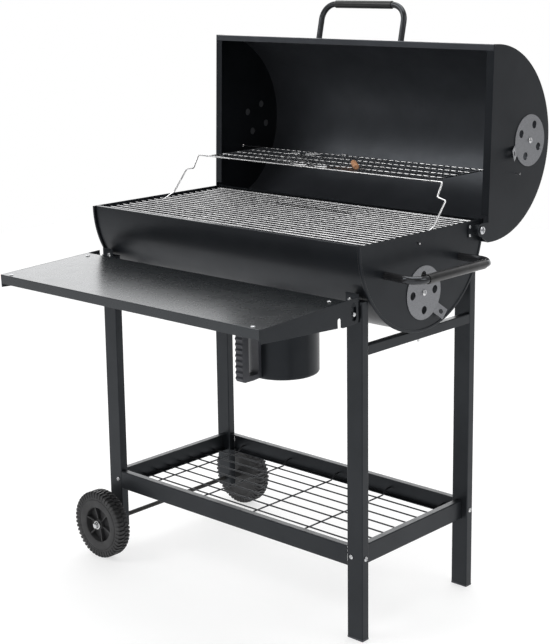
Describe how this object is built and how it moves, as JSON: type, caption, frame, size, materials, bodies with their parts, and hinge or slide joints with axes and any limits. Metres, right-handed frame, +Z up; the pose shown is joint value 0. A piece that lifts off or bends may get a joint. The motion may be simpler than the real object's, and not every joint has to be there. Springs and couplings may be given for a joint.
{
  "type": "barrel charcoal grill",
  "caption": "Barrel charcoal grill on a wheeled trolley, with hinged lid, warming rack, cooking grates, folding front table, wire shelf and pull-off ash pot.",
  "frame": {"origin": "on the ground, under the middle of the whole grill as it stands with the lid open and the table up", "axes": "+Z up, +X along the barrel to the end without wheels, -Y to the front with the folding table"},
  "size_m": [0.9154, 0.8952, 1.2601],
  "materials": {
    "black_paint": "satin powder coat",
    "glossy_black": "glossy enamel",
    "shelf_wire": "satin coated wire",
    "vent_steel": "matte grey steel",
    "chrome_wire": "bright plated wire",
    "zinc": "zinc plated",
    "black_plastic": "moulded, matte",
    "grip_rubber": "matte sleeve",
    "wood_grip": "varnished, turned"
  },
  "bodies": {
    "frame": {"ash_collar": "black_paint", "axle": "zinc", "charcoal_grate": "shelf_wire", "crossbar_left": "black_paint", "crossbar_right": "black_paint", "firebox_end_left": "black_paint", "firebox_end_right": "black_paint", "firebox_shell": "black_paint", "firebox_vent_screw_left": "zinc", "firebox_vent_screw_right": "zinc", "foot_cap_front": "black_plastic", "foot_cap_rear": "black_plastic", "grate_ledge_front": "black_paint", "grate_ledge_rear": "black_paint", "hinge_bolt_left": "zinc", "hinge_bolt_right": "zinc", "hinge_bracket_left": "black_paint", "hinge_bracket_right": "black_paint", "leg_front_left": "black_paint", "leg_front_right": "black_paint", "leg_rear_left": "black_paint", "leg_rear_right": "black_paint", "shelf_grid": "shelf_wire", "shelf_rail_front": "black_paint", "shelf_rail_left": "black_paint", "shelf_rail_rear": "black_paint", "shelf_rail_right": "black_paint", "side_handle": "glossy_black", "side_handle_grip": "grip_rubber", "table_bracket_left": "black_paint", "table_bracket_right": "black_paint", "table_pin_left": "zinc", "table_pin_right": "zinc", "wheel_cap_front": "zinc", "wheel_cap_rear": "zinc"},
    "lid": {"lid_shell": "black_paint", "lid_end_left": "black_paint", "lid_end_right": "black_paint", "lid_handle": "glossy_black", "lid_handle_grip": "grip_rubber", "lid_vent_screw_left": "zinc", "lid_vent_screw_right": "zinc"},
    "warming_rack": {"warming_rack": "chrome_wire"},
    "rack_leg_left": {"rack_leg_left": "chrome_wire"},
    "rack_leg_right": {"rack_leg_right": "chrome_wire"},
    "grate_lifter": {"grate_lifter": "wood_grip"},
    "table": {"table_top": "black_paint", "table_arm_left": "black_paint", "table_arm_right": "black_paint"},
    "ash_pot": {"ash_pot": "black_paint", "ash_pot_handle": "black_plastic"},
    "grate_left": {"grate_left": "chrome_wire"},
    "grate_middle": {"grate_middle": "chrome_wire"},
    "grate_right": {"grate_right": "chrome_wire"},
    "wheel_front": {"wheel_front": "black_plastic"},
    "wheel_rear": {"wheel_rear": "black_plastic"},
    "firebox_vent_left": {"firebox_vent_left": "vent_steel"},
    "firebox_vent_right": {"firebox_vent_right": "vent_steel"},
    "lid_vent_left": {"lid_vent_left": "vent_steel"},
    "lid_vent_right": {"lid_vent_right": "vent_steel"}
  },
  "joints": [
    {"name": "lid_hinge", "type": "hinge", "parent": "frame", "child": "lid", "pos_m": [-0.01815, 0.20094, 0.796], "axis": [1, 0, 0], "range_deg": [0, 91.9]},
    {"name": "rack_level", "type": "hinge", "parent": "lid", "child": "warming_rack", "pos_m": [-0.01815, 0.32094, 0.902], "axis": [1, 0, 0], "range_deg": [-91.9, 0]},
    {"name": "rack_leg_left_swing", "type": "hinge", "parent": "frame", "child": "rack_leg_left", "pos_m": [-0.01815, 0.00394, 0.796], "axis": [1, 0, 0], "range_deg": [0, 91.9]},
    {"name": "rack_leg_right_swing", "type": "hinge", "parent": "frame", "child": "rack_leg_right", "pos_m": [-0.01815, 0.00394, 0.796], "axis": [1, 0, 0], "range_deg": [0, 91.9]},
    {"name": "grate_lifter_lift", "type": "slide", "parent": "warming_rack", "child": "grate_lifter", "axis": [0, 0, 1], "range_m": [0, 0.03]},
    {"name": "table_fold", "type": "hinge", "parent": "frame", "child": "table", "pos_m": [-0.01815, -0.18506, 0.684], "axis": [1, 0, 0], "range_deg": [0, 87]},
    {"name": "ash_pot_pull", "type": "slide", "parent": "frame", "child": "ash_pot", "axis": [0, 0, -1], "range_m": [0, 0.12]},
    {"name": "wheel_front_spin", "type": "hinge", "parent": "frame", "child": "wheel_front", "pos_m": [-0.37915, -0.20606, 0.0785], "axis": [0, 1, 0], "continuous": true},
    {"name": "wheel_rear_spin", "type": "hinge", "parent": "frame", "child": "wheel_rear", "pos_m": [-0.37915, 0.25394, 0.0785], "axis": [0, 1, 0], "continuous": true},
    {"name": "grate_left_lift", "type": "slide", "parent": "frame", "child": "grate_left", "axis": [0, 0, 1], "range_m": [0, 0.04]},
    {"name": "grate_middle_lift", "type": "slide", "parent": "frame", "child": "grate_middle", "axis": [0, 0, 1], "range_m": [0, 0.04]},
    {"name": "grate_right_lift", "type": "slide", "parent": "frame", "child": "grate_right", "axis": [0, 0, 1], "range_m": [0, 0.04]},
    {"name": "firebox_vent_left_turn", "type": "hinge", "parent": "frame", "child": "firebox_vent_left", "pos_m": [-0.40495, 0.02394, 0.692], "axis": [1, 0, 0], "range_deg": [0, 45]},
    {"name": "lid_vent_left_turn", "type": "hinge", "parent": "lid", "child": "lid_vent_left", "pos_m": [-0.42055, 0.37322, 0.96738], "axis": [1, 0, 0], "range_deg": [0, 45]},
    {"name": "firebox_vent_right_turn", "type": "hinge", "parent": "frame", "child": "firebox_vent_right", "pos_m": [0.36865, 0.02394, 0.692], "axis": [1, 0, 0], "range_deg": [0, 45]},
    {"name": "lid_vent_right_turn", "type": "hinge", "parent": "lid", "child": "lid_vent_right", "pos_m": [0.38425, 0.37322, 0.96738], "axis": [1, 0, 0], "range_deg": [-45, 0]}
  ],
  "couplings": [
    {"joint": "rack_level", "follows": "lid_hinge", "ratio": -1},
    {"joint": "rack_leg_left_swing", "follows": "lid_hinge", "ratio": 1},
    {"joint": "rack_leg_right_swing", "follows": "lid_hinge", "ratio": 1}
  ]
}
